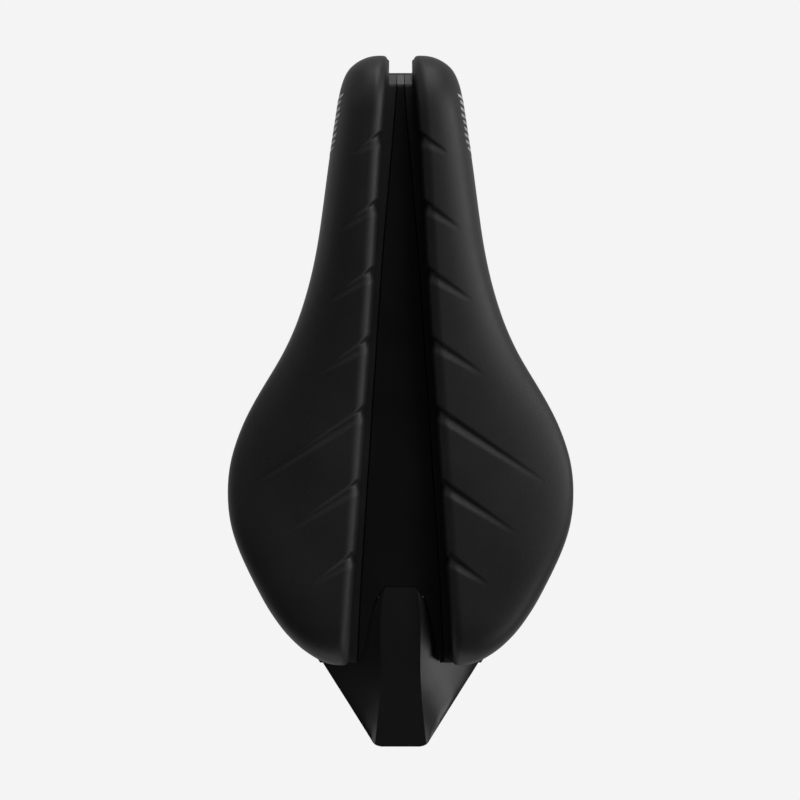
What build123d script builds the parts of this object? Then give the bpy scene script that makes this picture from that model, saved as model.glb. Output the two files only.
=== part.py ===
from build123d import *
from collections import namedtuple
import math
import os
import numpy as np

# Short split-nose bicycle saddle, millimetres.
# +Z is up, the nose points to -Y and X runs across the saddle.
# Origin: midway between the two rails, at the middle of their straight clamp
# zone, on the plane of the rail axes. Parts named "right" are on the +X side.

# ------------------------------------------------------------- driving sizes
TIP_Y = 118.3            # pads run from -TIP_Y at the nose to +TIP_Y at the rear
SKIN = 1.3               # cover thickness
FOAM_GAP = 0.06          # between the cover and the foam
SHELL_T = 2.6            # base shell wall
PANEL_T = 1.75           # channel panel thickness
PANEL_DROP = 0.10        # panel face below the ledges beside it
SEAM = 0.28              # gap between the panel and the ledges
RIM_INSET = 0.8          # base edge inside the cover's widest line
KEEL_TOP, KEEL_BOTTOM = 1.95, 4.3   # keel faces, below the ledge
BRIDGE_Y = -111.5        # front face of the nose bridge
REAR_Y = 117.4           # rear end of the base shell
FIT = 0.05               # general clearance between mating faces
CLOSE_FIT = 0.02         # clearance of caps, inserts and boots
GAP = 0.20               # bond line under the pads
LIP_R = 5.0              # size of the corner cut off the nose bridge

RAIL_R = 3.5             # 7 mm rail
RAIL_X = 22.0            # 44 mm between rail axes
CLAMP_HALF = 43.0        # straight clamp zone is 86 mm long
REAR_X, REAR_Z = 31.0, 19.5   # axis of the rail ends
RAIL_END_Y = 103.0
NOSE_X, NOSE_Z = 9.5, 17.5    # axis of the nose U
NOSE_U_Y = -104.5        # axis of the U at its front
BOOT_R = 4.7             # rail boot outside radius
NOSE_CAP_T = 6.0         # cap depths below the rail axis
REAR_CAP_T = 6.6

M4_R = 2.0
CLEAR_R = M4_R + 0.2     # screw clearance hole
INSERT_R = 2.8
INSERT_HOLE_R = INSERT_R + CLOSE_FIT
INSERT_LIFT = 0.6        # cap inserts start this far above the rail axis
INSERT_L = 7.0
INSERT_HOLE_L = 8.2

TAIL_END = 150.3         # rear end of the tail
TAIL_T = 3.0             # thickness of the tail's web
TONGUE_Y, WING_Y = 74.5, 107.2   # front ends of the tail's tongue and wings
TONGUE_HALF = 16.4
HOOK_SEAT_Z = 15.6       # underside of the tail where the hook pad sits

# Screw places, (X, Y)
REAR_SCREWS = [(side * (REAR_X + offset), 92.0) for side in (-1, 1) for offset in (-8.7, 8.7)]
NOSE_SCREWS = [(0.0, -95.5), (0.0, -85.0)]
PANEL_SCREWS = [(0.0, -66.0), (0.0, -8.0), (0.0, 56.0)]

# seat: underside of the base's boss; head: face the screw head closes on;
# boss_top: upper end of the boss; hole: insert hole depth above the seat
TailScrew = namedtuple("TailScrew", "x y seat head boss_top hole screw_length insert_length")
TAIL_SCREWS = [TailScrew(side * row[0], *row[1:])
               for row in ((9.0, 80.0, 24.0, 20.6, 32.0, 6.6, 8.6, 5.4),
                           (26.0, 112.0, 24.6, 22.3, 32.6, 5.4, 7.0, 4.6))
               for side in (-1, 1)]
TONGUE_SEAT, TONGUE_BOTTOM = TAIL_SCREWS[0].seat, TAIL_SCREWS[0].head

# Outer edge of a pad in plan, (Y, X)
OUTER = [
    (-118.3, 8.9), (-117.36, 13.6), (-116.19, 16.0), (-115.0, 17.75), (-112.7, 20.1),
    (-110.4, 21.5), (-108.0, 22.5), (-104.5, 23.5), (-101.0, 24.2), (-93.3, 25.4),
    (-85.5, 26.6), (-77.7, 27.75), (-69.9, 28.8), (-62.2, 29.8), (-54.4, 30.85),
    (-46.6, 32.0), (-38.9, 33.4), (-31.1, 35.15), (-23.3, 37.3), (-15.5, 39.9),
    (-7.8, 43.1), (0.0, 47.1), (7.8, 51.75), (15.5, 56.3), (23.3, 60.35), (31.1, 63.5),
    (38.9, 65.75), (46.6, 66.85), (52.5, 67.0), (58.3, 66.65), (66.1, 65.2),
    (73.8, 62.6), (81.6, 59.1), (89.4, 55.15), (93.3, 53.05), (97.15, 50.75),
    (101.0, 48.15), (104.9, 45.2), (108.8, 41.6), (112.7, 37.1), (114.6, 34.3),
    (116.6, 30.7), (117.6, 28.0), (118.3, 23.6)]
# Inner edge of a pad in plan, (Y, X)
INNER = [
    (-118.3, 6.75), (-118.2, 6.2), (-118.0, 5.82), (-117.7, 5.5), (-117.3, 5.3),
    (-116.7, 5.18), (-114.0, 5.1), (-110.0, 5.25), (-104.9, 5.6), (-97.0, 6.25),
    (-89.4, 6.9), (-77.7, 7.7), (-62.2, 8.6), (-46.6, 9.4), (-23.3, 10.7), (0.0, 12.2),
    (15.5, 13.3), (35.0, 14.6), (54.4, 15.9), (77.7, 17.6), (93.3, 18.75),
    (108.0, 19.6), (115.0, 19.95), (117.3, 20.3), (118.0, 21.0), (118.3, 22.2)]
# Half-width of the seam beside the channel panel, (Y, X)
SEAM_W = [
    (-121.0, 1.05), (-111.5, 1.45), (-84.7, 3.4), (-64.9, 5.15), (-47.0, 6.7),
    (-23.3, 8.4), (0.0, 9.95), (15.5, 11.0), (35.0, 12.2), (54.4, 13.5),
    (77.7, 15.0), (93.3, 15.9), (112.7, 16.75), (121.0, 17.0)]
# Heights above the rail plane, (Y, Z): pad crown, channel ledge, base edge
CREST = [
    (-118.3, 41.6), (-100.0, 43.3), (-80.0, 44.2), (-45.0, 44.1), (-15.0, 43.7),
    (15.0, 44.0), (45.0, 45.3), (75.0, 47.2), (95.0, 48.2), (118.3, 48.6)]
LEDGE = [
    (-121.0, 29.4), (-111.5, 30.6), (-100.0, 32.1), (-86.0, 33.1), (-60.0, 32.7),
    (-20.0, 31.7), (10.0, 31.6), (45.0, 32.6), (80.0, 34.1), (100.0, 34.4), (121.0, 34.2)]
RIM = [
    (-121.0, 19.2), (-100.0, 18.7), (-60.0, 19.4), (-20.0, 21.8), (10.0, 24.2),
    (40.0, 26.8), (70.0, 29.2), (100.0, 31.3), (121.0, 32.0)]
# Tail: ridge height, ridge half-width and wing-edge height, (Y, value)
RIDGE_Z = [(74.0, 33.9), (88.0, 34.1), (100.0, 33.7), (118.0, 31.9), (135.0, 28.6), (151.0, 24.6)]
RIDGE_W = [
    (74.0, 5.6), (88.0, 6.2), (94.0, 7.2), (112.0, 7.7), (128.0, 8.0), (140.0, 9.0),
    (151.0, 10.2)]
WING_Z = [(74.0, 25.2), (104.0, 24.6), (118.0, 23.8), (130.0, 22.2), (140.0, 22.2), (151.0, 23.6)]
# Fall of the pad's crown towards its outer edge, per mm of width, (Y, value)
SAG = [
    (-118.3, 0.20), (-60.0, 0.205), (-20.0, 0.185), (15.0, 0.14), (45.0, 0.09),
    (75.0, 0.05), (118.3, 0.03)]

TIP_Z_FRONT, TIP_Z_REAR = 25.2, 36.2   # height of the pad's foremost and rearmost points
ROUND_FRONT, ROUND_REAR = 22.0, 17.0   # length over which each end rounds off
FOOT_ROUND = 2.2         # length over which the pad's lower edge closes at a tip
SHOULDER = 4.6           # radius of the pad's edge along the channel
# Places of the crown's points, as fractions of the width outside the shoulder
CROWN_STEPS = (0.0, 0.2, 0.4, 0.58, 0.73, 0.84, 0.92, 0.97, 0.993, 1.0)

# +X half of the notch at the rear of the channel, (X, Y)
NOTCH = [(5.9, 88.1), (9.9, 93.9), (13.5, 109.4), (15.3, 118.5)]
NOTCH_Y = NOTCH[0][1]
# Y of the tail's loft sections
TAIL_STATIONS = [74.0, 82.0, 88.0, 94.0, 101.0, 108.0, 115.0, 122.0, 129.0, 136.0, 142.0,
                 147.0, 151.5]
# Side view of the hook under the tail, (Y, Z)
HOOK = [
    (114.0, 29.6), (114.0, 19.5), (118.5, HOOK_SEAT_Z), (133.0, HOOK_SEAT_Z), (137.6, 11.0),
    (138.4, 5.0), (140.6, 1.2), (144.2, 0.2), (147.6, 2.0), (149.2, 6.0),
    (TAIL_END + 1, 20.0), (TAIL_END + 1, 22.2), (140.0, 24.8), (128.0, 27.4)]
# Side view of the pad lining the hook, (Y, Z)
HOOK_PAD = [
    (118.9, HOOK_SEAT_Z - 0.02), (133.2, HOOK_SEAT_Z - 0.02), (137.5, 11.1), (138.2, 6.0),
    (136.4, 5.8), (135.8, 10.4), (132.5, HOOK_SEAT_Z - 1.9), (118.9, HOOK_SEAT_Z - 1.9)]


# -------------------------------------------------------------------- curves
def clamp(value, low=0.0, high=1.0):
    return max(low, min(high, value))


def curve(table, to=lambda v: v):
    """Natural cubic spline through a table of (Y, value), with Y passed through 'to'."""
    knots = np.array([to(a) for a, _ in table], float)
    values = np.array([b for _, b in table], float)
    n = len(knots)
    gaps = np.diff(knots)
    matrix = np.zeros((n, n))
    right = np.zeros(n)
    matrix[0, 0] = matrix[-1, -1] = 1.0
    for i in range(1, n - 1):
        matrix[i, i - 1] = gaps[i - 1]
        matrix[i, i] = 2 * (gaps[i - 1] + gaps[i])
        matrix[i, i + 1] = gaps[i]
        right[i] = 6 * ((values[i + 1] - values[i]) / gaps[i]
                        - (values[i] - values[i - 1]) / gaps[i - 1])
    bends = np.linalg.solve(matrix, right)

    def evaluate(y):
        t = to(y)
        i = int(min(max(np.searchsorted(knots, t) - 1, 0), n - 2))
        after, before, gap = knots[i + 1] - t, t - knots[i], gaps[i]
        return float((bends[i] * after**3 + bends[i + 1] * before**3) / (6 * gap)
                     + (values[i] / gap - bends[i] * gap / 6) * after
                     + (values[i + 1] / gap - bends[i + 1] * gap / 6) * before)
    return evaluate


def angle_of(y):
    """Angle that spreads the fast-turning ends of the pad's outline."""
    return math.acos(clamp(-y / TIP_Y, -1.0, 1.0))


x_outer = curve(OUTER, angle_of)
x_inner = curve(INNER, angle_of)
seam_w = curve(SEAM_W)
crest = curve(CREST)
sag_rate = curve(SAG)
ledge_flat = curve(LEDGE)
rim = curve(RIM)
ridge_z = curve(RIDGE_Z)
ridge_w = curve(RIDGE_W)
wing_z = curve(WING_Z)


def superellipse(s, n=2.0):
    """Rises from 0 at s = 0, steeply at first, to 1 at s = 1."""
    return (1 - (1 - clamp(s)) ** n) ** (1 / n)


def foot_rounding(y):
    return (superellipse((y + TIP_Y) / FOOT_ROUND)
            * superellipse((TIP_Y - y) / FOOT_ROUND))


def nose_rise(y):
    return 1 - clamp(1 - (y + TIP_Y + 0.6) / 13.0) ** 2.6


def rear_rise(y):
    return 1 - clamp(1 - (TIP_Y + 0.6 - y) / 9.0) ** 2.6


def ledge(y):
    """Height of the base along the channel; it dips to the rim at the nose."""
    return rim(y) + (ledge_flat(y) - rim(y)) * nose_rise(y)


def plan_outer(y):
    """Outer edge of the base's crown; it stops narrowing where the nose rounds in."""
    return x_outer(max(y, -108.5)) if y < 112.7 else x_outer(112.7) - (y - 112.7) * 1.2


def base_top(x, y):
    """Height of the base's upper face under a pad."""
    inner = x_inner(clamp(y, -116.0, 116.0))
    u = max(0.0, (abs(x) - inner) / max(4.0, plan_outer(y) - inner))
    top = rim(y) + (ledge_flat(y) - rim(y)) * nose_rise(y) * rear_rise(y)
    if u <= 1:
        return top - (top - rim(y)) * u**2.2
    return rim(y) - (top - rim(y)) * 2.2 * (u - 1) - (u - 1) * 6


# ------------------------------------------------------------- shape helpers
def strand(points, spread=None):
    """Interpolated edge; loft sections share one parameter spread so surfaces stay light."""
    if spread is None:
        spread = [k / (len(points) - 1) for k in range(len(points))]
    return Edge.make_spline([Vector(*p) for p in points], parameters=list(spread))


def spread_of(points):
    """Chord-length parameters of a run of points."""
    lengths = [0.0]
    for a, b in zip(points, points[1:]):
        lengths.append(lengths[-1] + math.dist(a, b))
    return [v / lengths[-1] for v in lengths]


def loft_of(wires):
    """Loft through the wires, with its faces turned outwards."""
    solid = Solid.make_loft(wires)
    return solid if solid.volume > 0 else Solid(solid.wrapped.Reversed())


def at_y(points, y):
    return [(x, y, z) for x, z in points]


def even_steps(start, end, n):
    return [start + (end - start) * k / n for k in range(n + 1)]


def side_bar(top, bottom, y0, y1, half):
    """Bar along the saddle whose top and bottom follow two height curves."""
    ys = even_steps(y0, y1, max(4, int((y1 - y0) / 6.0)))
    upper = Spline(*[(0, y, top(y)) for y in ys])
    lower = Spline(*[(0, y, bottom(y)) for y in reversed(ys)])
    face = Face(Wire([upper, Line((0, y1, top(y1)), (0, y1, bottom(y1))), lower,
                      Line((0, y0, bottom(y0)), (0, y0, top(y0)))]))
    return extrude(face, amount=half, dir=(1, 0, 0), both=True)


def side_prism(points, half):
    """Prism across X over a (Y, Z) outline."""
    outline = Polyline(*[(0, y, z) for y, z in points], close=True)
    return extrude(Face(Wire(outline.edges())), amount=half, dir=(1, 0, 0), both=True)


def plan_prism(right, z0, z1):
    """Vertical prism over a symmetrical outline, from its +X half as (X, Y)."""
    points = [(-x, y) for x, y in right] + right[::-1]
    outline = Polyline(*[(x, y, z0) for x, y in points], close=True)
    return extrude(Face(Wire(outline.edges())), amount=z1 - z0, dir=(0, 0, 1))


def band(inner, outer, y0, y1):
    """Tall vertical prism between two plan curves."""
    ys = even_steps(y0, y1, max(3, int((y1 - y0) / 8.0)))
    far = Spline(*[(outer(y), y, 0) for y in ys])
    near = Spline(*[(inner(y), y, 0) for y in reversed(ys)])
    face = Face(Wire([far, Line((outer(y1), y1, 0), (inner(y1), y1, 0)), near,
                      Line((inner(y0), y0, 0), (outer(y0), y0, 0))]))
    return extrude(face, amount=60, dir=(0, 0, 1))


def block(x0, x1, y0, y1, z0, z1):
    return Pos((x0 + x1) / 2, (y0 + y1) / 2, (z0 + z1) / 2) * Box(x1 - x0, y1 - y0, z1 - z0)


def rod(x, y, z0, z1, radius):
    return Pos(x, y, (z0 + z1) / 2) * Cylinder(radius, z1 - z0)


def rail_end_rod(y0, y1, radius):
    """Cylinder along Y on the axis of the +X rail end."""
    return Pos(REAR_X, (y0 + y1) / 2, REAR_Z) * Rot(90, 0, 0) * Cylinder(radius, y1 - y0)


def mirrored(shape):
    return mirror(shape, about=Plane.YZ)


def only(shape):
    """The largest solid of a boolean result."""
    return max(shape.solids(), key=lambda s: s.volume)


# ---------------------------------------------------------------------- pads
def pad_arch(y, inset):
    """(X, Z) points over one pad from its inner foot to its outer foot, offset by inset."""
    ye = y * (TIP_Y / (TIP_Y - inset))   # the matching place on the full-size pad
    inner, outer = x_inner(ye) + inset, x_outer(ye) - inset
    if outer - inner < 1.2:
        middle = (outer + inner) / 2
        inner, outer = middle - 0.6, middle + 0.6
    tip_z = TIP_Z_FRONT if y < 0 else TIP_Z_REAR
    top = tip_z + ((crest(y) - inset - tip_z)
                   * superellipse((ye + TIP_Y) / ROUND_FRONT, 2.2)
                   * superellipse((TIP_Y - ye) / ROUND_REAR, 2.2))
    foot = foot_rounding(ye)
    inner_foot_x = inner + 0.35 * foot
    inner_foot_z = tip_z + (base_top(inner_foot_x, y) + GAP - tip_z) * foot
    outer_foot_x = outer - 0.9 * foot
    outer_foot_z = tip_z + (base_top(outer_foot_x, y) + GAP - tip_z) * foot
    top = max(top, max(inner_foot_z, outer_foot_z) + 1.0)

    width = outer - inner
    shoulder_x = inner + min(SHOULDER, 0.30 * width)
    shoulder_h = min(SHOULDER + 0.2, 0.62 * (top - inner_foot_z))
    side_z = outer_foot_z + 0.24 * (top - outer_foot_z)
    n = 3.0 + 1.5 * clamp((width - 15.0) / 30.0)
    sag = sag_rate(ye) * (outer - shoulder_x)

    points = [(inner_foot_x, inner_foot_z),
              (inner_foot_x + (inner - inner_foot_x) * 0.45,
               inner_foot_z + (top - shoulder_h - inner_foot_z) * 0.45)]
    for k in range(4):
        t = math.pi / 2 * (1 - k / 4)
        points.append((shoulder_x - (shoulder_x - inner) * math.sin(t) ** (2 / 2.2),
                       top - shoulder_h + shoulder_h * math.cos(t) ** (2 / 2.2)))
    for t in CROWN_STEPS:
        crown = top - sag * (0.4 * t + 0.6 * t**2)
        points.append((shoulder_x + (outer - shoulder_x) * t,
                       side_z + (crown - side_z) * (1 - t**n) ** (1 / n)))
    points.append((outer - 0.25 * (outer - outer_foot_x),
                   side_z + (outer_foot_z - side_z) * 0.55))
    points.append((outer_foot_x, outer_foot_z))
    return points


def stations(inset=0.0, first=0.015, count=23):
    """Y of the loft sections, closer together at the tips."""
    return [-(TIP_Y - inset) * math.cos(math.pi * (first + (1 - 2 * first) * k / (count - 1)))
            for k in range(count)]


def pad_solid(inset):
    """The +X pad, resting on the base with a bond line."""
    spread = spread_of(pad_arch(20.0, inset))
    wires = []
    for y in stations(inset):
        arch = pad_arch(y, inset)
        (x0, z0), (x1, z1) = arch[0], arch[-1]
        low = [(x1, y, z1)]
        for k in range(1, 7):
            f = k / 7
            x = x1 + (x0 - x1) * f
            chord = z1 + (z0 - z1) * f
            base_chord = base_top(x1, y) + (base_top(x0, y) - base_top(x1, y)) * f
            bulge = base_top(x, y) + GAP - base_chord
            low.append((x, y, chord + bulge * foot_rounding(y)))
        low.append((x0, y, z0))
        wires.append(Wire([strand(at_y(arch, y), spread), strand(low)]))
    return loft_of(wires)


def pad_cutter(inset):
    """Cutter for the inside of the +X cover; it runs below the pad."""
    def section(y):
        arch = pad_arch(y, inset)
        (x0, z0), (x1, z1) = arch[0], arch[-1]
        return [(x0, z0 - 2.5)] + arch + [(x1 - 0.15, z1 - 2.5)]

    spread = spread_of(section(20.0))
    wires = []
    for y in stations(inset):
        arch = section(y)
        (x0, z0), (x1, z1) = arch[0], arch[-1]
        floor = z1 - 9.0
        wires.append(Wire([strand(at_y(arch, y), spread),
                           Line((x1, y, z1), (x1, y, floor)),
                           Line((x1, y, floor), (x0, y, floor)),
                           Line((x0, y, floor), (x0, y, z0))]))
    return loft_of(wires)


# ----------------------------------------------------------------- rail wire
def rounded_path(points, radii):
    """3-D polyline with each inner corner rounded; returns one wire."""
    p = [Vector(*q) for q in points]
    edges, start = [], p[0]
    for i, radius in enumerate(radii, start=1):
        back, ahead = (p[i - 1] - p[i]).normalized(), (p[i + 1] - p[i]).normalized()
        half = math.acos(clamp(back.dot(ahead), -1, 1)) / 2
        tangent = radius / math.tan(half)
        arc_start, arc_end = p[i] + back * tangent, p[i] + ahead * tangent
        inward = (back + ahead).normalized()
        centre = p[i] + inward * (radius / math.sin(half))
        if (arc_start - start).length > 1e-4:
            edges.append(Line(start, arc_start))
        edges.append(ThreePointArc(arc_start, centre - inward * radius, arc_end))
        start = arc_end
    edges.append(Line(start, p[-1]))
    return Wire(edges)


def rail_path():
    half = [(REAR_X, RAIL_END_Y, REAR_Z), (REAR_X, 79.0, REAR_Z),
            (RAIL_X, CLAMP_HALF + 4.0, 0.0), (RAIL_X, -CLAMP_HALF - 5.2, 0.0),
            (NOSE_X, -84.0, NOSE_Z), (NOSE_X, NOSE_U_Y, NOSE_Z)]
    bends = [12.0, 14.0, 22.0, 15.0, NOSE_X - 0.05]
    return rounded_path(half + [(-x, y, z) for x, y, z in reversed(half)], bends + bends[::-1])


def rail_solid(path, radius):
    start = Plane(origin=(REAR_X, RAIL_END_Y, REAR_Z), z_dir=(0, -1, 0))
    return only(sweep(start * Circle(radius), path=path))


# ---------------------------------------------------------------- base shell
def wing_loft():
    """The +X half of the shell before its outline is cut."""
    wires = []
    for y in [-121.5] + stations() + [121.5]:
        top = [(x, base_top(x, y)) for x in even_steps(seam_w(y), plan_outer(y) + 2.5, 11)]
        low = []
        for i, (x, z) in enumerate(top):
            a, b = top[max(i - 1, 0)], top[min(i + 1, 11)]
            dx, dz = b[0] - a[0], b[1] - a[1]
            length = math.hypot(dx, dz)
            low.append((x + dz / length * SHELL_T, z - dx / length * SHELL_T))
        low[0] = (top[0][0], low[0][1])
        top, low = at_y(top, y), at_y(low, y)
        wires.append(Wire([strand(top), Line(top[-1], low[-1]),
                           strand(low[::-1]), Line(low[0], top[0])]))
    return loft_of(wires)


def base_plan():
    """Tall prism over the plan outline of the +X half of the base, inset from the cover."""
    points = [(5.4, -TIP_Y + 0.9), (8.0, -TIP_Y + RIM_INSET)]
    step = 0.5
    for k in range(29):
        y = -TIP_Y * math.cos(math.pi * (0.075 + 0.84 * k / 28))
        change = x_outer(y + step) - x_outer(y - step)
        length = math.hypot(change, 2 * step)
        points.append((x_outer(y) - RIM_INSET * 2 * step / length,
                       y + RIM_INSET * change / length))
    points.append((points[-1][0] - 3.4, REAR_Y))
    edge = strand([(x, y, 0) for x, y in points], spread_of(points))
    middle_x, lobe_x = 0.4, 4.45
    corners = [edge @ 1, (10.0, REAR_Y, 0), (middle_x, REAR_Y, 0), (middle_x, BRIDGE_Y, 0),
               (lobe_x, BRIDGE_Y, 0), (lobe_x, -TIP_Y + 1.9, 0), edge @ 0]
    run = Wire([edge] + [Line(a, b) for a, b in zip(corners, corners[1:])])
    return extrude(Face(run), amount=60, dir=(0, 0, 1))


def notch_prism(gap, z0, z1):
    """Notch at the rear of the channel, widened by gap."""
    return plan_prism([(x + gap, y - (gap if i == 0 else gap * 0.4))
                       for i, (x, y) in enumerate(NOTCH)], z0, z1)


def lip_cutter(top, half):
    """Removes the corner above the sloping front lip of the nose bridge."""
    front, back = BRIDGE_Y, BRIDGE_Y + LIP_R
    z = top(back)
    return side_prism([(front - 3, z - 0.92 * LIP_R), (front, z - 0.92 * LIP_R),
                       (front + 0.25, z - 0.78 * LIP_R), (front + 0.75, z - 0.66 * LIP_R),
                       (back - 0.5, z - 0.07 * LIP_R), (back + 0.4, z),
                       (back + 0.4, z + 4.0), (front - 3, z + 4.0)], half)


def make_base(rail_bore, boot_bore):
    wing = only(wing_loft() & base_plan())
    keel = side_bar(lambda y: ledge(y) - KEEL_TOP, lambda y: ledge(y) - KEEL_BOTTOM,
                    BRIDGE_Y, REAR_Y, 30)
    keel = only(keel & band(lambda y: -seam_w(y) - 1.6, lambda y: seam_w(y) + 1.6,
                            BRIDGE_Y, REAR_Y))
    rib_y = (-108.0, 104.0)
    rib = side_bar(lambda y: ledge(y) - 0.9, lambda y: ledge(y) - 7.2, *rib_y, 30)
    rib = only(rib & band(lambda y: seam_w(y) + 0.25, lambda y: seam_w(y) + 2.6, *rib_y))
    base = keel
    for piece in (wing, mirrored(wing), rib, mirrored(rib)):
        base = base + piece
    base = only(base)

    # nose bridge front wall and the block that seats the U of the rail
    base = base + block(-4.2, 4.2, BRIDGE_Y + 0.02, BRIDGE_Y + 2.6, 19.0, 26.9)
    base = base + block(-15.0, 15.0, BRIDGE_Y + 0.5, -80.0, NOSE_Z + FIT, 27.6)
    base = base - lip_cutter(ledge, 4.44)
    base = base - rail_bore

    # rear rail seats
    for x in (-REAR_X, REAR_X):
        base = base + block(x - 12.6, x + 12.6, 81.0, 106.0, REAR_Z + FIT, 31.6)
    for bore in (boot_bore, mirrored(boot_bore)):
        base = base - bore
    base = base - rail_bore

    # tail bosses, then the insert holes
    for s in TAIL_SCREWS:
        base = base + rod(s.x, s.y, s.seat, s.boss_top, 4.6)
    for places, axis_z in ((REAR_SCREWS, REAR_Z), (NOSE_SCREWS, NOSE_Z)):
        for x, y in places:
            base = base - rod(x, y, axis_z - 1, axis_z + INSERT_HOLE_L, INSERT_HOLE_R)
    for s in TAIL_SCREWS:
        base = base - rod(s.x, s.y, s.seat - 1, s.seat + s.hole, INSERT_HOLE_R)

    # the panel's bosses pass through the keel
    for x, y in PANEL_SCREWS:
        base = base - rod(x, y, 20, 40, 3.1)
    # notch for the tail's ridge
    return only(base - notch_prism(0.25, 15.0, 45.0))


# ------------------------------------------------------------- channel panel
def panel_top(y):
    return ledge(y) - PANEL_DROP


def make_panel():
    rear = REAR_Y - 0.1
    panel = side_bar(panel_top, lambda y: panel_top(y) - PANEL_T, BRIDGE_Y, rear, 30)
    panel = panel & band(lambda y: -seam_w(y) + SEAM, lambda y: seam_w(y) - SEAM,
                         BRIDGE_Y, rear)
    panel = panel - lip_cutter(panel_top, 10.0)
    panel = panel - notch_prism(0.2, 15.0, 45.0)
    for x, y in PANEL_SCREWS:
        panel = panel + rod(x, y, ledge(y) - 6.0, ledge(y) - 1.0, 2.9)
        panel = panel - rod(x, y, ledge(y) - 7.0, ledge(y) - 1.6, 1.2)
    panel = only(panel)
    long_top = [e for e in panel.edges()
                if e.length > 60 and abs(e.center().X) > 1
                and e.center().Z > ledge(e.center().Y) - 0.9]
    return only(chamfer(long_top, 0.25))


# ---------------------------------------------------------------- rail parts
def rail_cap(body, corner_r, bore, places):
    """Cap that closes on the rail from below."""
    cap = fillet(body.edges().filter_by(Axis.Z), corner_r)
    cap = chamfer(cap.faces().sort_by(Axis.Z)[0].edges(), 1.2)
    cap = cap - bore
    for x, y in places:
        cap = cap - rod(x, y, 5, 30, CLEAR_R)
    return only(cap)


def make_nose_cap(rail_bore):
    body = block(-14.5, 14.5, BRIDGE_Y + 0.9, -80.4, NOSE_Z - NOSE_CAP_T, NOSE_Z - CLOSE_FIT)
    return rail_cap(body, 5.0, rail_bore, NOSE_SCREWS)


def make_rear_cap(boot_bore):
    body = block(REAR_X - 12.4, REAR_X + 12.4, 83.0, 102.0,
                 REAR_Z - REAR_CAP_T, REAR_Z - CLOSE_FIT)
    return rail_cap(body, 4.0, boot_bore, [(x, y) for x, y in REAR_SCREWS if x > 0])


def make_boot():
    """Sleeve over the +X rail end, closed at the rear."""
    return only(rail_end_rod(82.9, 104.8, BOOT_R)
                - rail_end_rod(80.0, RAIL_END_Y + 0.1, RAIL_R + CLOSE_FIT))


# ----------------------------------------------------------------- fasteners
def button_screw(x, y, seat, length):
    """Button-head screw pointing up; its head's flat side is on the plane z = seat."""
    head_h = 2.2
    head = Pos(x, y, seat - head_h / 2) * Cylinder(3.8, head_h)
    head = fillet(head.edges().sort_by(Axis.Z)[0:1], head_h * 0.75)
    shank = rod(x, y, seat - 0.1, seat + length, M4_R)
    shank = chamfer(shank.edges().sort_by(Axis.Z)[-1:], 0.4)
    socket = Pos(x, y, seat - head_h - 0.01) * extrude(RegularPolygon(1.45, 6), amount=1.5)
    return only(head + shank - socket)


def insert(x, y, z0, length):
    """Threaded insert, shown as a sleeve with a groove around it."""
    body = (rod(x, y, z0, z0 + length, INSERT_R)
            - rod(x, y, z0 - 1, z0 + length + 1, M4_R + 0.03))
    groove = (rod(x, y, z0 + length * 0.44, z0 + length * 0.56, INSERT_R + 1)
              - rod(x, y, z0, z0 + length, INSERT_R - 0.25))
    return only(body - groove)


def panel_screw(x, y):
    """Small cross-slot screw with a washer, pointing up into a panel boss."""
    top = ledge(y)
    washer = rod(x, y, top - 6.9, top - 6.1, 4.4)
    head = Pos(x, y, top - 7.6) * Cylinder(2.7, 1.6)
    head = fillet(head.edges().sort_by(Axis.Z)[0:1], 1.0)
    stem = rod(x, y, top - 7.5, top - 2.2, 1.15)
    slot = Pos(x, y, top - 8.2) * Box(0.7, 3.4, 1.1) + Pos(x, y, top - 8.2) * Box(3.4, 0.7, 1.1)
    return only(washer + head + stem - slot)


# ---------------------------------------------------------------------- tail
def wing_x(y):
    """Half-width of the tail's wings, which taper to the rear."""
    return 31.3 - (y - 116.6) * 0.643


def tail_loft():
    """Ridge with a wing falling away on each side, wider than the finished tail."""
    wires = []
    for y in TAIL_STATIONS:
        ridge, half, wing = ridge_z(y), ridge_w(y), wing_z(y)
        edge = max(wing_x(y), half + 1.6)
        end = edge + 8.0

        def flank(start, z_high, z_low):
            xs = [start + (end - start) * (k / 10) ** 1.6 for k in range(11)]
            return [(x, y, z_low + (z_high - z_low)
                     * max(0.0, 1 - (x - start) / (edge - start)) ** 1.35) for x in xs]

        top = flank(half, ridge, wing)
        low = flank(half - 2.2, ridge - TAIL_T, wing - TAIL_T)
        left_top = [(-x, y, z) for x, y, z in top]
        left_low = [(-x, y, z) for x, y, z in low]
        inner, under = half - 2.2, ridge - TAIL_T
        wires.append(Wire([
            strand(top), Line(top[-1], low[-1]), strand(low[::-1]),
            strand(left_low), Line(left_low[-1], left_top[-1]), strand(left_top[::-1]),
            Line((inner, y, under), (-inner, y, under)),
            Line((-half, y, ridge), (half, y, ridge))]))
    return loft_of(wires)


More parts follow.
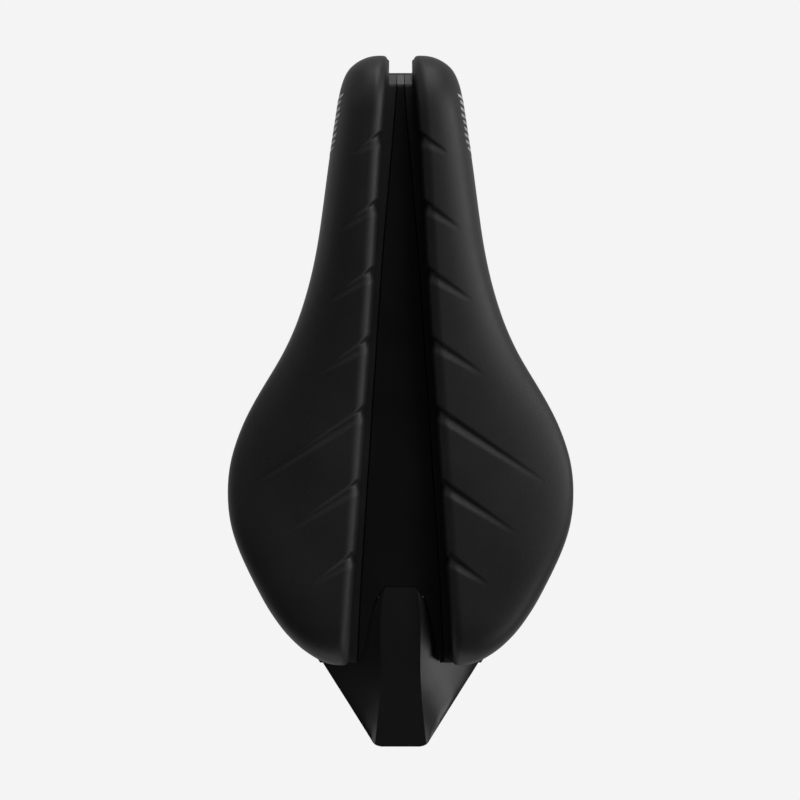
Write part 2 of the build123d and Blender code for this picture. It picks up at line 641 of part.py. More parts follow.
def make_tail():
    plan = plan_prism([(TONGUE_HALF, TONGUE_Y), (TONGUE_HALF, WING_Y),
                       (wing_x(WING_Y) - 0.5, WING_Y), (11.4, 147.7), (10.9, 148.6),
                       (10.1, 149.4), (8.9, 150.0), (7.4, TAIL_END)], -10, 60)
    tail = tail_loft() & plan
    # keep the part that shows in the notch, and clear the base elsewhere
    base_zone = side_bar(lambda y: 60.0, lambda y: ledge(y) - KEEL_BOTTOM - 0.15,
                         60.0, REAR_Y + 0.25, 45)
    tail = tail - (base_zone - notch_prism(0.0, -10.0, 70.0))
    tail = tail - block(-45, 45, 60, NOTCH_Y, TONGUE_SEAT, 60)
    # tongue under the base, and the riser that joins it to the ridge
    tongue = block(-TONGUE_HALF, TONGUE_HALF, TONGUE_Y, 92.0,
                   TONGUE_BOTTOM, TONGUE_SEAT - CLOSE_FIT)
    tail = tail + (tongue + block(-8.6, 8.6, NOTCH_Y + 0.05, 92.0, 21.0, 30.0))
    tail = tail + (side_prism(HOOK, 9.0) & plan)
    for s in TAIL_SCREWS:
        tail = tail - rod(s.x, s.y, 0, 60, CLEAR_R) - rod(s.x, s.y, 5, s.head, 4.3)
        if s.y > 100:
            tail = tail - rod(s.x, s.y, s.seat - 0.03, 60, 5.2)
    return only(tail)


# --------------------------------------------------------------------- write
path = rail_path()
rail_bore = rail_solid(path, RAIL_R + FIT)
boot_bore = rail_end_rod(80.0, 105.2, BOOT_R + FIT)
tail_hook = make_tail()

nodes = {
    "cover_right": [only(pad_solid(0.0) - pad_cutter(SKIN))],
    "foam_right": [pad_solid(SKIN + FOAM_GAP)],
    "base_shell": [make_base(rail_bore, boot_bore)],
    "channel_panel": [make_panel()],
    "panel_screws": [panel_screw(x, y) for x, y in PANEL_SCREWS],
    "saddle_rail": [rail_solid(path, RAIL_R)],
    "rail_boot_right": [make_boot()],
    "nose_rail_cap": [make_nose_cap(rail_bore)],
    "nose_cap_screws": [button_screw(x, y, NOSE_Z - NOSE_CAP_T, 13.0) for x, y in NOSE_SCREWS],
    "nose_inserts": [insert(x, y, NOSE_Z + INSERT_LIFT, INSERT_L) for x, y in NOSE_SCREWS],
    "rear_rail_cap_right": [make_rear_cap(boot_bore)],
    "rear_cap_screws": [button_screw(x, y, REAR_Z - REAR_CAP_T, 13.6) for x, y in REAR_SCREWS],
    "rear_inserts": [insert(x, y, REAR_Z + INSERT_LIFT, INSERT_L) for x, y in REAR_SCREWS],
    "tail_hook": [tail_hook],
    "hook_pad": [only(side_prism(HOOK_PAD, 7.6) - tail_hook)],
    "hook_screws": [button_screw(s.x, s.y, s.head, s.screw_length) for s in TAIL_SCREWS],
    "hook_inserts": [insert(s.x, s.y, s.seat + 0.5, s.insert_length) for s in TAIL_SCREWS],
}
for name in ("cover", "foam", "rail_boot", "rear_rail_cap"):
    nodes[name + "_left"] = [mirrored(s) for s in nodes[name + "_right"]]

os.makedirs("parts", exist_ok=True)
for name, solids in nodes.items():
    shape = solids[0] if len(solids) == 1 else Compound(children=solids)
    export_step(shape, f"parts/{name}.step")
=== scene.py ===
"""Bicycle saddle: padded covers, foam and flank print on a CAD shell with rails.

X runs across the saddle, with the two pads mirrored about x = 0. The nose points
to -Y, the tail to +Y, and Z is up. Pieces named "right" lie at +X. Shapes are
worked out in mm and built in metres.
"""
import math
import bpy
import bmesh
import numpy as np
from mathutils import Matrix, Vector


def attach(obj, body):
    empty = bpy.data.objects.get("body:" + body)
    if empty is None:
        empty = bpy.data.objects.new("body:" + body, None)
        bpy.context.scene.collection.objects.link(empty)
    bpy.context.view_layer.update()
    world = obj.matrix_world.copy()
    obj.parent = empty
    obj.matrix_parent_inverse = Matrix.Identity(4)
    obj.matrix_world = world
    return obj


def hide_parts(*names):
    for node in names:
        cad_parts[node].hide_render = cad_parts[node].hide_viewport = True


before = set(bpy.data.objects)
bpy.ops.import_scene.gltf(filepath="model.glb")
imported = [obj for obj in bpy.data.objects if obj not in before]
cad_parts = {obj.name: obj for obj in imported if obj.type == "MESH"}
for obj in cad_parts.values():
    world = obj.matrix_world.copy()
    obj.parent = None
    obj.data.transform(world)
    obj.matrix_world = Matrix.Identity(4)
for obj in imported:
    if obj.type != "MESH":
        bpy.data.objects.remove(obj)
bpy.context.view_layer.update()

MM = 0.001

# ------------------------------------------------------------------ saddle form, mm
TIP_Y = 118.3                       # pad ends lie at -TIP_Y and +TIP_Y
SKIN = 1.3                          # cover thickness
FOAM_CLEARANCE = 0.08               # between cover and foam
BASE_GAP = 0.20                     # between pad feet and shell
TIP_Z_NOSE, TIP_Z_TAIL = 25.2, 36.2      # crest height at the very ends
ROUND_NOSE, ROUND_TAIL = 22.0, 17.0      # length over which the crest rounds down

# Tables along the saddle: (y, value). Outer edge of the pad in plan: (y, x)
OUTER_EDGE = [
    (-118.3, 8.9), (-117.36, 13.6), (-116.19, 16.0), (-115.0, 17.75), (-112.7, 20.1),
    (-110.4, 21.5), (-108.0, 22.5), (-104.5, 23.5), (-101.0, 24.2), (-93.3, 25.4),
    (-85.5, 26.6), (-77.7, 27.75), (-69.9, 28.8), (-62.2, 29.8), (-54.4, 30.85),
    (-46.6, 32.0), (-38.9, 33.4), (-31.1, 35.15), (-23.3, 37.3), (-15.5, 39.9),
    (-7.8, 43.1), (0.0, 47.1), (7.8, 51.75), (15.5, 56.3), (23.3, 60.35), (31.1, 63.5),
    (38.9, 65.75), (46.6, 66.85), (52.5, 67.0), (58.3, 66.65), (66.1, 65.2),
    (73.8, 62.6), (81.6, 59.1), (89.4, 55.15), (93.3, 53.05), (97.15, 50.75),
    (101.0, 48.15), (104.9, 45.2), (108.8, 41.6), (112.7, 37.1), (114.6, 34.3),
    (116.6, 30.7), (117.6, 28.0), (118.3, 23.6)]
# Inner edge of the pad in plan: (y, x)
INNER_EDGE = [
    (-118.3, 6.75), (-118.2, 6.2), (-118.0, 5.82), (-117.7, 5.5), (-117.3, 5.3),
    (-116.7, 5.18), (-114.0, 5.1), (-110.0, 5.25), (-104.9, 5.6), (-97.0, 6.25),
    (-89.4, 6.9), (-77.7, 7.7), (-62.2, 8.6), (-46.6, 9.4), (-23.3, 10.7), (0.0, 12.2),
    (15.5, 13.3), (35.0, 14.6), (54.4, 15.9), (77.7, 17.6), (93.3, 18.75), (108.0, 19.6),
    (115.0, 19.95), (117.3, 20.3), (118.0, 21.0), (118.3, 22.2)]
# Crest height of the pad: (y, z)
CREST = [
    (-118.3, 41.6), (-100.0, 43.3), (-80.0, 44.2), (-45.0, 44.1), (-15.0, 43.7),
    (15.0, 44.0), (45.0, 45.3), (75.0, 47.2), (95.0, 48.2), (118.3, 48.6)]
# Height of the shell's top under the pad, at its inner edge: (y, z)
LEDGE = [
    (-121.0, 29.4), (-111.5, 30.6), (-100.0, 32.1), (-86.0, 33.1), (-60.0, 32.7),
    (-20.0, 31.7), (10.0, 31.6), (45.0, 32.6), (80.0, 34.1), (100.0, 34.4), (121.0, 34.2)]
# Height of the shell's top at its outer edge: (y, z)
RIM = [
    (-121.0, 19.2), (-100.0, 18.7), (-60.0, 19.4), (-20.0, 21.8), (10.0, 24.2),
    (40.0, 26.8), (70.0, 29.2), (100.0, 31.3), (121.0, 32.0)]
# Outward fall of the pad's crown per mm of width: (y, slope)
FALL = [
    (-118.3, 0.20), (-60.0, 0.205), (-20.0, 0.185), (15.0, 0.14), (45.0, 0.09),
    (75.0, 0.05), (118.3, 0.03)]


def spline(table, warp=lambda v: v):
    """Natural cubic spline through the table, with its first column warped."""
    knots = np.array([warp(a) for a, _ in table], float)
    values = np.array([b for _, b in table], float)
    count = len(knots)
    gaps = np.diff(knots)
    matrix = np.zeros((count, count))
    right = np.zeros(count)
    matrix[0, 0] = matrix[-1, -1] = 1.0
    for i in range(1, count - 1):
        matrix[i, i - 1:i + 2] = gaps[i - 1], 2 * (gaps[i - 1] + gaps[i]), gaps[i]
        right[i] = 6 * ((values[i + 1] - values[i]) / gaps[i]
                        - (values[i] - values[i - 1]) / gaps[i - 1])
    bend = np.linalg.solve(matrix, right)

    def evaluate(v):
        t = warp(v)
        i = int(min(max(np.searchsorted(knots, t) - 1, 0), count - 2))
        gap, before, after = gaps[i], t - knots[i], knots[i + 1] - t
        return float((bend[i] * after**3 + bend[i + 1] * before**3) / (6 * gap)
                     + (values[i] / gap - bend[i] * gap / 6) * after
                     + (values[i + 1] / gap - bend[i + 1] * gap / 6) * before)
    return evaluate


def tip_angle(y):
    """Angle that spreads out the stations close to the tips."""
    return math.acos(max(-1.0, min(1.0, -y / TIP_Y)))


x_outer, x_inner = spline(OUTER_EDGE, tip_angle), spline(INNER_EDGE, tip_angle)
crest, ledge, rim, fall = spline(CREST), spline(LEDGE), spline(RIM), spline(FALL)


def clamp(v):
    return max(0.0, min(1.0, v))


def rounding(s, power=2.0):
    """Superellipse rise from 0 to 1."""
    return (1 - (1 - clamp(s)) ** power) ** (1 / power)


# -------------------------------------------------------------------- shell top, mm
SHELL_OVERHANG = 0.6                # shell end beyond the pad tip
DROP_NOSE, DROP_TAIL = 13.0, 9.0    # length over which ledge drops to rim
DROP_POWER = 2.6
EDGE_Y_NOSE, EDGE_Y_TAIL = -108.5, 112.7   # shell edge leaves the pad edge past these
TAIL_TAPER = 1.2                    # x lost per mm beyond EDGE_Y_TAIL
INNER_Y_LIMIT = 116.0
SHELL_MIN_WIDTH = 4.0
SHELL_POWER = 2.2                   # curve across the shell
OUTSIDE_DROP = 6                    # extra fall outside the shell's edge


def end_drop(y):
    """1 along the saddle, falling to 0 at the shell's ends."""
    end_y = TIP_Y + SHELL_OVERHANG
    nose = 1 - clamp(1 - (y + end_y) / DROP_NOSE) ** DROP_POWER
    tail = 1 - clamp(1 - (end_y - y) / DROP_TAIL) ** DROP_POWER
    return nose * tail


def shell_edge(y):
    if y < EDGE_Y_TAIL:
        return x_outer(max(y, EDGE_Y_NOSE))
    return x_outer(EDGE_Y_TAIL) - (y - EDGE_Y_TAIL) * TAIL_TAPER


def base_top(x, y):
    """Height of the shell's top surface."""
    inner = x_inner(max(-INNER_Y_LIMIT, min(INNER_Y_LIMIT, y)))
    u = max(0.0, (abs(x) - inner) / max(SHELL_MIN_WIDTH, shell_edge(y) - inner))
    drop = (ledge(y) - rim(y)) * end_drop(y)
    if u <= 1:
        return rim(y) + drop - drop * u**SHELL_POWER
    return rim(y) - drop * SHELL_POWER * (u - 1) - (u - 1) * OUTSIDE_DROP


# ------------------------------------------------------------------ pad section, mm
MIN_WIDTH, MIN_HEIGHT = 1.2, 1.0
CREST_POWER = 2.2                   # crest rounding at the tips
TUCK_LENGTH = 2.2                   # foot tuck grows over this length from each tip
TUCK_INNER, TUCK_OUTER = 0.35, 0.9  # feet set in from the pad's edges
SHOULDER_WIDTH, SHOULDER_WIDTH_SHARE = 4.6, 0.30    # upper limits: mm, share of width
SHOULDER_HEIGHT, SHOULDER_HEIGHT_SHARE = 4.8, 0.62  # upper limits: mm, share of height
SHOULDER_POWER = 2.2
OUTER_WALL_SHARE = 0.24             # height share of the wall below the crown
CROWN_POWER, CROWN_POWER_GAIN = 3.0, 1.5            # wide sections are squarer
CROWN_FROM, CROWN_OVER = 15.0, 30.0                 # widths between which power grows
CROWN_CROWDING = 3.5                # crowds points to the crown's outer end


def arch(y, inset, count):
    """Pad section from inner foot to outer foot, evenly spaced points (x, z)."""
    y_full = y * (TIP_Y / (TIP_Y - inset))
    from_nose, from_tail = y_full + TIP_Y, TIP_Y - y_full
    inner, outer = x_inner(y_full) + inset, x_outer(y_full) - inset
    if outer - inner < MIN_WIDTH:
        middle = (outer + inner) / 2
        inner, outer = middle - MIN_WIDTH / 2, middle + MIN_WIDTH / 2
    tip_z = TIP_Z_NOSE if y < 0 else TIP_Z_TAIL
    top = tip_z + ((crest(y) - inset - tip_z)
                   * rounding(from_nose / ROUND_NOSE, CREST_POWER)
                   * rounding(from_tail / ROUND_TAIL, CREST_POWER))
    tuck = rounding(from_nose / TUCK_LENGTH) * rounding(from_tail / TUCK_LENGTH)
    foot_in = inner + TUCK_INNER * tuck
    foot_in_z = base_top(foot_in, y) + BASE_GAP
    foot_out = outer - TUCK_OUTER * tuck
    foot_out_z = base_top(foot_out, y) + BASE_GAP
    top = max(top, max(foot_in_z, foot_out_z) + MIN_HEIGHT)

    width = outer - inner
    shoulder_x = inner + min(SHOULDER_WIDTH, SHOULDER_WIDTH_SHARE * width)
    shoulder = min(SHOULDER_HEIGHT, SHOULDER_HEIGHT_SHARE * (top - foot_in_z))
    wall_z = foot_out_z + OUTER_WALL_SHARE * (top - foot_out_z)
    power = CROWN_POWER + CROWN_POWER_GAIN * clamp((width - CROWN_FROM) / CROWN_OVER)
    sag = fall(y_full) * (outer - shoulder_x)

    # inner wall
    k = np.linspace(0, 1, 14)[:-1]
    xs = [foot_in + (inner - foot_in) * k]
    zs = [foot_in_z + (top - shoulder - foot_in_z) * k]
    # inner shoulder
    t = np.linspace(math.pi / 2, 0, 60)
    bow = 2 / SHOULDER_POWER
    xs.append(shoulder_x - (shoulder_x - inner) * np.clip(np.sin(t), 0, 1) ** bow)
    zs.append(top - shoulder + shoulder * np.clip(np.cos(t), 0, 1) ** bow)
    # crown
    t = 1 - (1 - np.linspace(0, 1, 240)[1:]) ** CROWN_CROWDING
    xs.append(shoulder_x + (outer - shoulder_x) * t)
    zs.append(wall_z + (top - sag * (0.4 * t + 0.6 * t**2) - wall_z)
              * np.clip(1 - t**power, 0, 1) ** (1 / power))
    # outer wall
    k = np.linspace(0, 1, 12)[1:]
    xs.append(outer - (outer - foot_out) * k**2)
    zs.append(wall_z + (foot_out_z - wall_z) * k)

    x, z = np.concatenate(xs), np.concatenate(zs)
    run = np.concatenate([[0], np.cumsum(np.hypot(np.diff(x), np.diff(z)))])
    even = np.linspace(0, run[-1], count)
    return np.interp(even, run, x), np.interp(even, run, z)


def pad_grid(inset, rows, cols, end_share):
    """Points (rows, cols, 3) over the +X pad, rows crowded towards the tips."""
    limit = TIP_Y - inset
    grid = np.zeros((rows, cols, 3))
    for j in range(rows):
        y = -limit * math.cos(math.pi * (end_share + (1 - 2 * end_share) * j / (rows - 1)))
        x, z = arch(y, inset, cols)
        grid[j, :, 0], grid[j, :, 1], grid[j, :, 2] = x, y, z
    return grid


def grid_normals(grid):
    """Unit normals, facing up at the middle of the grid."""
    normals = np.cross(np.gradient(grid, axis=0), np.gradient(grid, axis=1))
    normals /= np.maximum(np.linalg.norm(normals, axis=2, keepdims=True), 1e-9)
    return -normals if normals[grid.shape[0] // 2, grid.shape[1] // 2, 2] < 0 else normals


# --------------------------------------------------------------- pressed grooves, mm
# (x, y) of the inner end, (x, y) of the outer end
GROOVES = [
    ((8.2, -86.6), (18.2, -80.0)), ((9.6, -60.3), (23.2, -50.8)),
    ((11.2, -34.2), (27.9, -23.0)), ((13.0, -7.2), (32.2, 5.5)),
    ((14.6, 19.5), (56.0, 47.2)), ((17.4, 48.3), (44.8, 66.8)),
    ((19.3, 76.3), (33.8, 86.6))]
GROOVE_HALF, GROOVE_NARROWING = 2.1, 1.3    # half width inside, and its loss outwards
GROOVE_DEPTH, GROOVE_FADE = 1.1, 1.05       # depth inside, power of its fade outwards
NOSE_WALL, TAIL_WALL = 0.70, 1.9            # wall widths over half width; nose is steeper
GROOVE_END = 1.2                            # rounding past the inner end
GROOVE_POWER = 1.7                          # shape of the walls
PRESS_Z, PRESS_FADE = 33.0, 3.0             # grooves fade in above this height


def groove_depth(x, y):
    """Depth of the grooves at plan points."""
    total = np.zeros_like(x)
    for (x0, y0), (x1, y1) in GROOVES:
        length = math.hypot(x1 - x0, y1 - y0)
        tx, ty = (x1 - x0) / length, (y1 - y0) / length
        along = (x - x0) * tx + (y - y0) * ty
        across = -(x - x0) * ty + (y - y0) * tx          # + towards the tail
        t = np.clip(along / length, 0, 1)
        past = np.maximum(0, np.maximum(-along - GROOVE_END, along - length))
        half = GROOVE_HALF - GROOVE_NARROWING * t
        deep = GROOVE_DEPTH * (1 - t) ** GROOVE_FADE
        wall = np.where(across < 0, half * NOSE_WALL, half * TAIL_WALL)
        q = np.clip(np.hypot(across / wall, past / GROOVE_END), 0, 1)
        total = np.maximum(total, deep * (1 - q * q) ** GROOVE_POWER)
    return total


def pressed(grid, share=1.0):
    """The grid with the grooves sunk into it, to a share of their depth."""
    depth = groove_depth(grid[:, :, 0], grid[:, :, 1])
    depth = depth * np.clip((grid[:, :, 2] - PRESS_Z) / PRESS_FADE, 0, 1)
    return grid - grid_normals(grid) * (depth * share)[:, :, None]


# ----------------------------------------------------------------------- mesh tools
def new_object(name, verts, faces, smooth=True):
    mesh = bpy.data.meshes.new(name)
    mesh.from_pydata([tuple(v) for v in verts], [], faces)
    mesh.validate()
    o = bpy.data.objects.new(name, mesh)
    bpy.context.scene.collection.objects.link(o)
    bm = bmesh.new()
    bm.from_mesh(mesh)
    bmesh.ops.recalc_face_normals(bm, faces=bm.faces)
    bm.to_mesh(mesh)
    bm.free()
    if smooth:
        for p in mesh.polygons:
            p.use_smooth = True
    return o


def quads(rows, cols, start=0, close=False):
    """Faces over a grid of vertices; close joins the last column to the first."""
    out = []
    for j in range(rows - 1):
        for i in range(cols - (0 if close else 1)):
            a, b = start + j * cols + i, start + j * cols + (i + 1) % cols
            out.append((a, b, b + cols, a + cols))
    return out


def on_side(points, side):
    """Points in mm on the +X side, as rows in metres on the given side."""
    placed = np.array(points, float).reshape(-1, 3)
    placed[:, 0] *= side
    return placed * MM


# --------------------------------------------------------------------------- pieces
COVER_ROWS, COVER_COLS, LINING_COLS = 560, 150, 44
COVER_END = 0.004
cover_outside = pressed(pad_grid(0.0, COVER_ROWS, COVER_COLS, COVER_END))
cover_lining = pressed(pad_grid(SKIN, COVER_ROWS, LINING_COLS, COVER_END), share=0.9)


def build_cover(name, side):
    """Thin cover: outside and lining, joined at the feet and closed at the tips."""
    rows, cols, lining_cols = COVER_ROWS, COVER_COLS, LINING_COLS
    verts = np.concatenate([on_side(cover_outside, side), on_side(cover_lining, side)])
    lining = rows * cols
    faces = quads(rows, cols) + quads(rows, lining_cols, lining)
    for j in range(rows - 1):
        for i_out, i_in in ((0, 0), (cols - 1, lining_cols - 1)):
            a, b = j * cols + i_out, lining + j * lining_cols + i_in
            faces.append((a, a + cols, b + lining_cols, b))
    for j in (0, rows - 1):
        outside_row = tuple(j * cols + i for i in range(cols))
        lining_row = tuple(lining + j * lining_cols + i for i in range(lining_cols))
        faces += [outside_row, lining_row,
                  (outside_row[0], outside_row[-1], lining_row[-1], lining_row[0])]
    return new_object(name, verts, faces)


def build_foam(name, side):
    """Solid foam under the cover; its underside follows the shell."""
    rows, top_cols, under_cols = 260, 60, 20
    cols = top_cols + under_cols
    top = pressed(pad_grid(SKIN + FOAM_CLEARANCE, rows, top_cols, 0.006), share=0.92)
    ring = np.zeros((rows, cols, 3))
    ring[:, :top_cols] = top
    for j in range(rows):
        a, b = top[j, -1], top[j, 0]
        y = a[1]
        base_a, base_b = base_top(a[0], y), base_top(b[0], y)
        for k in range(under_cols):
            f = (k + 1) / (under_cols + 1)
            x = a[0] + (b[0] - a[0]) * f
            line = a[2] + (b[2] - a[2]) * f
            bulge = base_top(x, y) - (base_a + (base_b - base_a) * f)
            ring[j, top_cols + k] = (x, y, line + bulge)
    faces = quads(rows, cols, close=True)
    faces.append(tuple(range(cols)))
    faces.append(tuple((rows - 1) * cols + i for i in range(cols)))
    return new_object(name, on_side(ring, side), faces)


PRINT_BARS, PRINT_PITCH, PRINT_Y = 9, 2.55, -103.2
BAR_WIDTH, BAR_SLANT = 1.25, 2.3            # both along y
BAR_TOP, BAR_FOOT = 36.2, 26.5              # mean heights of the bar ends
BAR_LIFTS = (0.015, 0.10)                   # back and face above the cover
FLANK_STEP = 0.2                            # height step used to find the flank's slope


def build_print(name, side):
    """Printed flank graphic: a row of slanted thin bars on the nose flank."""
    rows, cols = 12, 4
    layer = rows * cols
    # outline of one bar's grid, once round
    edge = ([r * cols for r in range(rows)]
            + [(rows - 1) * cols + c for c in range(1, cols)]
            + [r * cols + cols - 1 for r in range(rows - 2, -1, -1)]
            + list(range(cols - 2, 0, -1)))
    verts, faces = [], []
    for bar in range(PRINT_BARS):
        bar_y = PRINT_Y + bar * PRINT_PITCH
        top = BAR_TOP - 0.55 * math.sin(bar * 1.7)
        foot = BAR_FOOT + 0.7 * math.cos(bar * 2.3)
        base = len(verts)
        for lift in BAR_LIFTS:
            for r in range(rows):
                f = r / (rows - 1)
                for c in range(cols):
                    y = bar_y + c / (cols - 1) * BAR_WIDTH + f * BAR_SLANT
                    x, z = arch(y, 0.0, 300)
                    peak = int(np.argmax(z))
                    flank_z, flank_x = z[peak:][::-1], x[peak:][::-1]
                    at_z = top + (foot - top) * f
                    at_x = float(np.interp(at_z, flank_z, flank_x))
                    below_x = float(np.interp(at_z - FLANK_STEP, flank_z, flank_x))
                    normal = Vector((FLANK_STEP, 0, below_x - at_x)).normalized()
                    verts.append((at_x + normal.x * lift, y, at_z + normal.z * lift))
        for a, b, d, e in quads(rows, cols, base):
            faces.append((a, b, d, e))
            faces.append((a + layer, e + layer, d + layer, b + layer))
        for i in range(len(edge)):
            a, b = base + edge[i], base + edge[(i + 1) % len(edge)]
            faces.append((a, b, layer + b, layer + a))
    return new_object(name, on_side(verts, side), faces)


# ------------------------------------------------------------------------ materials
def textured(name, color, rough, metallic=0.0, spec=0.5, grain=900.0, grain_depth=0.00005,
             strength=0.35, tint=0.35, rough_var=0.10, cell=False, coat=0.0):
    """Finish with fine grain in the bump and slow variation in colour and roughness.

    grain is the texture scale, cell picks round cells over noise, grain_depth is in
    metres, and tint and rough_var are the swings about color and rough.
    """
    m = bpy.data.materials.new(name)
    m.use_nodes = True
    m.diffuse_color = (*color, 1)
    nodes, link = m.node_tree.nodes, m.node_tree.links.new
    shader = nodes.get("Principled BSDF")

    def settings(node, **values):
        for key, value in values.items():
            node.inputs[key.replace("_", " ")].default_value = value

    settings(shader, Base_Color=(*color, 1), Roughness=rough, Metallic=metallic,
             Specular_IOR_Level=spec)
    place = nodes.new("ShaderNodeTexCoord").outputs["Object"]
    slow = nodes.new("ShaderNodeTexNoise")
    settings(slow, Scale=38.0, Detail=4.0)
    link(place, slow.inputs["Vector"])
    fine = nodes.new("ShaderNodeTexVoronoi" if cell else "ShaderNodeTexNoise")
    settings(fine, Scale=grain)
    if not cell:
        settings(fine, Detail=3.0)
    link(place, fine.inputs["Vector"])
    fine_out = fine.outputs["Distance" if cell else "Fac"]

    shade = nodes.new("ShaderNodeMapRange")
    settings(shade, From_Min=0.3, From_Max=0.7, To_Min=1 - tint, To_Max=1 + tint)
    link(slow.outputs["Fac"], shade.inputs["Value"])
    tinted = nodes.new("ShaderNodeVectorMath")
    tinted.operation = "SCALE"
    tinted.inputs[0].default_value = color
    link(shade.outputs["Result"], tinted.inputs["Scale"])
    link(tinted.outputs["Vector"], shader.inputs["Base Color"])

    roughness = nodes.new("ShaderNodeMapRange")
    settings(roughness, From_Min=0.3, From_Max=1.1,
             To_Min=rough - rough_var, To_Max=rough + rough_var)
    both = nodes.new("ShaderNodeMath")
    both.operation = "ADD"
    fine_share = nodes.new("ShaderNodeMath")
    fine_share.operation = "MULTIPLY"
    fine_share.inputs[1].default_value = 0.4
    link(fine_out, fine_share.inputs[0])
    link(slow.outputs["Fac"], both.inputs[0])
    link(fine_share.outputs[0], both.inputs[1])
    link(both.outputs[0], roughness.inputs["Value"])
    link(roughness.outputs["Result"], shader.inputs["Roughness"])

    bump = nodes.new("ShaderNodeBump")
    settings(bump, Strength=strength, Distance=grain_depth)
    link(fine_out, bump.inputs["Height"])
    link(bump.outputs["Normal"], shader.inputs["Normal"])
    if coat:
        settings(shader, Coat_Weight=coat, Coat_Roughness=0.18)
    return m


MATERIALS = {
    "cover": textured("cover_microfibre", color=(0.0105, 0.0107, 0.0108), rough=0.52,
                      grain=1500, grain_depth=0.00006, strength=0.30, tint=0.22,
                      rough_var=0.05, cell=True),
    "foam": textured("pad_foam", color=(0.10, 0.10, 0.11), rough=0.9, spec=0.2,
                     grain=1100, grain_depth=0.0003, strength=0.8, cell=True),
    "base": textured("shell_moulded", color=(0.0068, 0.0070, 0.0072), rough=0.46,
                     grain=2200, strength=0.25, tint=0.2),
    "panel": textured("channel_strip", color=(0.0042, 0.0043, 0.0045), rough=0.36,
                      spec=0.45, grain=2600, grain_depth=0.00003, strength=0.18, tint=0.2,
                      rough_var=0.05),
    "tail": textured("tail_moulded", color=(0.0060, 0.0062, 0.0065), rough=0.38,
                     spec=0.75, grain=2400, grain_depth=0.00003, strength=0.2, tint=0.2,
                     rough_var=0.05),
    "caps": textured("glass_nylon", color=(0.022, 0.022, 0.023), rough=0.55, grain=1400,
                     strength=0.4),
    "rail": textured("rail_black_coat", color=(0.016, 0.016, 0.017), rough=0.32, spec=0.6,
                     grain=1800, grain_depth=0.00002, strength=0.3, coat=0.25),
    "rubber": textured("black_rubber", color=(0.016, 0.016, 0.016), rough=0.7, spec=0.3,
                       grain=1300, strength=0.5),
    "steel": textured("dark_zinc", color=(0.20, 0.20, 0.205), rough=0.34, metallic=1.0,
                      grain=1600, grain_depth=0.00002, strength=0.4, tint=0.12),
    "insert": textured("turned_brass", color=(0.62, 0.44, 0.18), rough=0.32, metallic=1.0,
                       grain=1800, grain_depth=0.00002, strength=0.4, tint=0.12),
    "flash": textured("flank_print", color=(0.42, 0.43, 0.44), rough=0.5, tint=0.5,
                      cell=True),
}

# material of each CAD piece
FINISHES = {
    "base": ["base_shell"],
    "panel": ["channel_panel"],
    "tail": ["tail_hook"],
    "caps": ["nose_rail_cap", "rear_rail_cap_left", "rear_rail_cap_right"],
    "rail": ["saddle_rail"],
    "rubber": ["rail_boot_left", "rail_boot_right", "hook_pad"],
    "steel": ["panel_screws", "nose_cap_screws", "rear_cap_screws", "hook_screws"],
    "insert": ["nose_inserts", "rear_inserts", "hook_inserts"],
    "cover": ["cover_left", "cover_right"],
    "foam": ["foam_left", "foam_right"],
}


def dress(o, material):
    o.data.materials.clear()
    o.data.materials.append(material)


for finish, names in FINISHES.items():
    for piece_name in names:
        dress(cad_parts[piece_name], MATERIALS[finish])


def add_piece(o, finish):
    dress(o, MATERIALS[finish])
    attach(o, "root")


for word, side in (("left", -1), ("right", 1)):
    cover = build_cover("pad_cover_" + word, side)
    add_piece(cover, "cover")
    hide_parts("cover_" + word)
    foam = build_foam("pad_foam_" + word, side)
    add_piece(foam, "foam")
    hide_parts("foam_" + word)
    add_piece(build_print("flank_print_" + word, side), "flash")

# -------------------------------------------------------------------- stage, metres
FLOOR_HALF, FLOOR_Z = 6, -0.0045


def grey(level):
    return (level, level, level, 1)


BACKDROP = grey(0.905)              # floor and surroundings as the camera sees them
FLOOR_GLOW = grey(0.55)             # floor as the saddle sees it


def split_by_ray(tree, unseen, seen, output_kind):
    """Show one shader to the camera and the other to all other rays."""
    output = tree.nodes.new(output_kind)
    rays = tree.nodes.new("ShaderNodeLightPath")
    mix = tree.nodes.new("ShaderNodeMixShader")
    tree.links.new(rays.outputs["Is Camera Ray"], mix.inputs[0])
    tree.links.new(unseen.outputs[0], mix.inputs[1])
    tree.links.new(seen.outputs[0], mix.inputs[2])
    tree.links.new(mix.outputs[0], output.inputs["Surface"])


def build_floor():
    m = bpy.data.materials.new("studio_floor")
    m.use_nodes = True
    tree = m.node_tree
    tree.nodes.clear()
    seen = tree.nodes.new("ShaderNodeEmission")
    seen.inputs["Color"].default_value = BACKDROP
    unseen = tree.nodes.new("ShaderNodeEmission")
    unseen.inputs["Color"].default_value = FLOOR_GLOW
    split_by_ray(tree, unseen, seen, "ShaderNodeOutputMaterial")
    corners = [(x * FLOOR_HALF, y * FLOOR_HALF, FLOOR_Z)
               for x, y in ((-1, -1), (1, -1), (1, 1), (-1, 1))]
    floor = new_object("floor", corners, [(0, 1, 2, 3)], smooth=False)
    dress(floor, m)


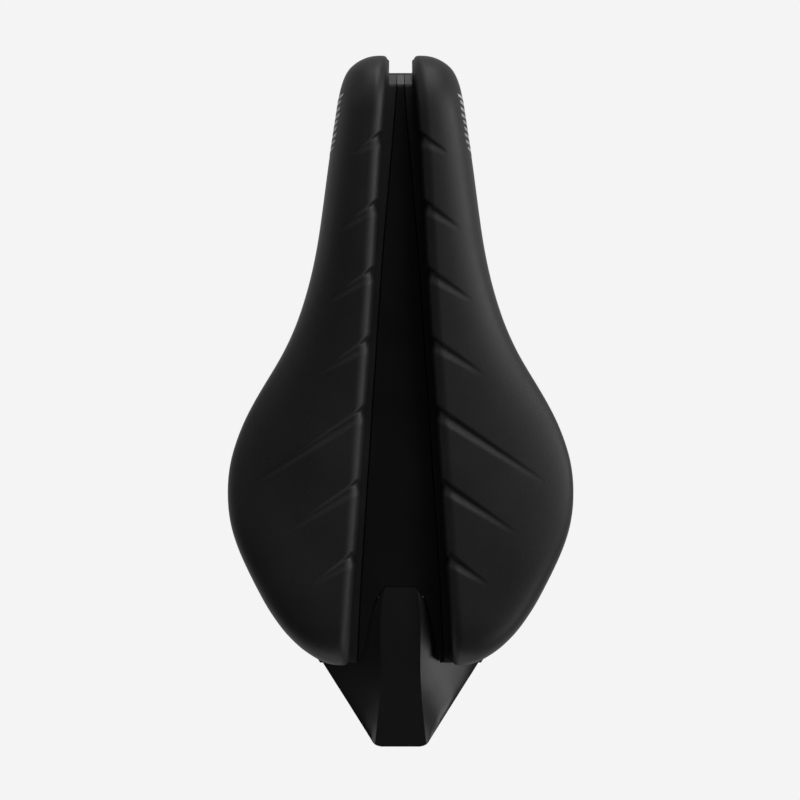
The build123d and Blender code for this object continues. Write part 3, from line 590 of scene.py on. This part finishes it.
def build_world():
    """Dim light that darkens upwards, behind a plain pale backdrop."""
    world = bpy.data.worlds.new("studio")
    bpy.context.scene.world = world
    world.use_nodes = True
    tree = world.node_tree
    tree.nodes.clear()
    glow = tree.nodes.new("ShaderNodeBackground")
    place = tree.nodes.new("ShaderNodeTexCoord")
    split = tree.nodes.new("ShaderNodeSeparateXYZ")
    ramp = tree.nodes.new("ShaderNodeValToRGB")
    # (height, brightness)
    for stop, (height, level) in zip(ramp.color_ramp.elements, ((0.06, 0.075), (0.34, 0.026))):
        stop.position = height
        stop.color = grey(level)
    tree.links.new(place.outputs["Generated"], split.inputs[0])
    tree.links.new(split.outputs["Z"], ramp.inputs["Fac"])
    tree.links.new(ramp.outputs["Color"], glow.inputs["Color"])
    backdrop = tree.nodes.new("ShaderNodeBackground")
    backdrop.inputs["Color"].default_value = BACKDROP
    split_by_ray(tree, glow, backdrop, "ShaderNodeOutputWorld")


LIGHT_AIM = (0, 0, 0.03)
# name, azimuth, elevation, reach, width, height, watts
# azimuth in degrees: 0 is -X, 90 the nose side, 180 +X
SOFTBOXES = [
    ("key_high", 32, 42, 0.8, 0.3, 0.3, 1.0),
    ("key_low", 14, 18, 0.8, 0.3, 0.3, 1.55),
    ("rear_right", -35, 35, 1.8, 0.6, 0.6, 4.6),
    ("fill_left", 140, 30, 1.8, 1.0, 1.0, 2.0),
    ("side_left", 172, 5, 1.8, 0.9, 0.5, 1.0),
    ("rear_low", -96, 7, 1.8, 0.9, 0.5, 3.2),
    ("front_low", 84, 12, 1.2, 0.4, 0.4, 2.9),
    ("front_high", 76, 30, 1.8, 0.6, 0.6, 4.6)]


def softbox(name, azimuth, elevation, reach, width, height, watts):
    """Area light on a dome over the saddle, turned towards LIGHT_AIM."""
    light = bpy.data.lights.new(name, "AREA")
    light.shape = "RECTANGLE"
    light.size, light.size_y = width, height
    light.energy = watts
    o = bpy.data.objects.new(name, light)
    bpy.context.scene.collection.objects.link(o)
    a, e = math.radians(azimuth), math.radians(elevation)
    place = Vector((-math.cos(a) * math.cos(e) * reach, -math.sin(a) * math.cos(e) * reach,
                    math.sin(e) * reach))
    o.location = place
    o.rotation_euler = (Vector(LIGHT_AIM) - place).to_track_quat("-Z", "Y").to_euler()


CAMERA_PLACE = (0.00023, 0.01554, 3.232)
VIEW_HALF_WIDTH, VIEW_DISTANCE = 0.15515, 3.2   # together they set the lens angle


def build_camera():
    """Camera looking straight down, with the nose at the top of the view."""
    lens = bpy.data.cameras.new("camera")
    camera = bpy.data.objects.new("camera", lens)
    bpy.context.scene.collection.objects.link(camera)
    camera.location = CAMERA_PLACE
    camera.rotation_euler = (0, 0, math.pi)
    lens.sensor_fit = "HORIZONTAL"
    lens.angle = 2 * math.atan(VIEW_HALF_WIDTH / VIEW_DISTANCE)
    lens.clip_start, lens.clip_end = 0.01, 100
    bpy.context.scene.camera = camera


build_floor()
build_world()
for row in SOFTBOXES:
    softbox(*row)
build_camera()
bpy.context.scene.view_settings.view_transform = "Standard"
bpy.context.scene.view_settings.look = "None"
